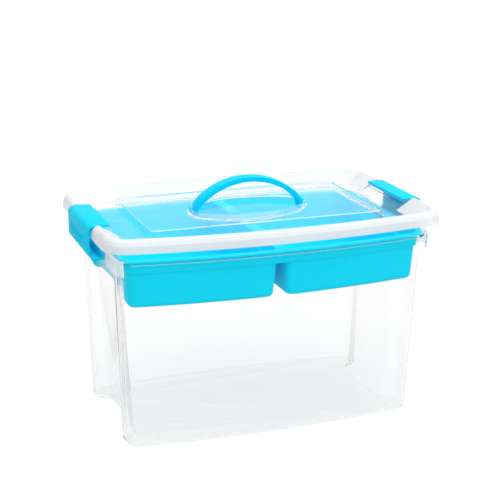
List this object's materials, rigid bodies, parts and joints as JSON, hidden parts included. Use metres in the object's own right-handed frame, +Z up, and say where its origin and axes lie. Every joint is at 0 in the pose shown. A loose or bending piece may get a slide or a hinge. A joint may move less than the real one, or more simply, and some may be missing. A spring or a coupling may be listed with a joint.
{
  "type": "sewing box",
  "caption": "Clear lidded storage box with an inner lift-out tray insert, side snap latches and a folding carry handle.",
  "frame": {"origin": "centre of the tub's footprint, on the surface it stands on", "axes": "+X along the long side to the right, +Y towards the back, +Z up"},
  "size_m": [0.3886, 0.263, 0.268],
  "materials": {
    "clear_tub": "clear moulded polypropylene, glossy outside, faintly milky",
    "clear_lid": "clear moulded polypropylene, slightly frosted panel",
    "cyan_handle": "bright cyan moulded plastic, satin gloss",
    "cyan_latch": "bright cyan moulded plastic, fine stipple on the outer face",
    "cyan_tray": "bright cyan moulded plastic, slightly translucent"
  },
  "bodies": {
    "tub": {"tub": "clear_tub"},
    "lid": {"lid": "clear_lid"},
    "carry_handle": {"carry_handle": "cyan_handle"},
    "latch_left": {"latch_left": "cyan_latch"},
    "latch_right": {"latch_right": "cyan_latch"},
    "tray_insert": {"tray_insert": "cyan_tray"}
  },
  "joints": [
    {"name": "lid_lift", "type": "slide", "parent": "tub", "child": "lid", "axis": [0, 0, 1], "range_m": [0, 0.3]},
    {"name": "tray_lift", "type": "slide", "parent": "tub", "child": "tray_insert", "axis": [0, 0, 1], "range_m": [0, 0.15]},
    {"name": "latch_left_hinge", "type": "hinge", "parent": "tub", "child": "latch_left", "pos_m": [-0.175, 0, 0.2053], "axis": [0, -1, 0], "range_deg": [0, 105]},
    {"name": "latch_right_hinge", "type": "hinge", "parent": "tub", "child": "latch_right", "pos_m": [0.175, 0, 0.2053], "axis": [0, 1, 0], "range_deg": [0, 105]},
    {"name": "handle_swing", "type": "hinge", "parent": "lid", "child": "carry_handle", "pos_m": [0, 0, 0.235], "axis": [1, 0, 0], "range_deg": [-80, 80]}
  ],
  "couplings": [
    {"joint": "tray_lift", "follows": "lid_lift", "ratio": 0.5}
  ]
}
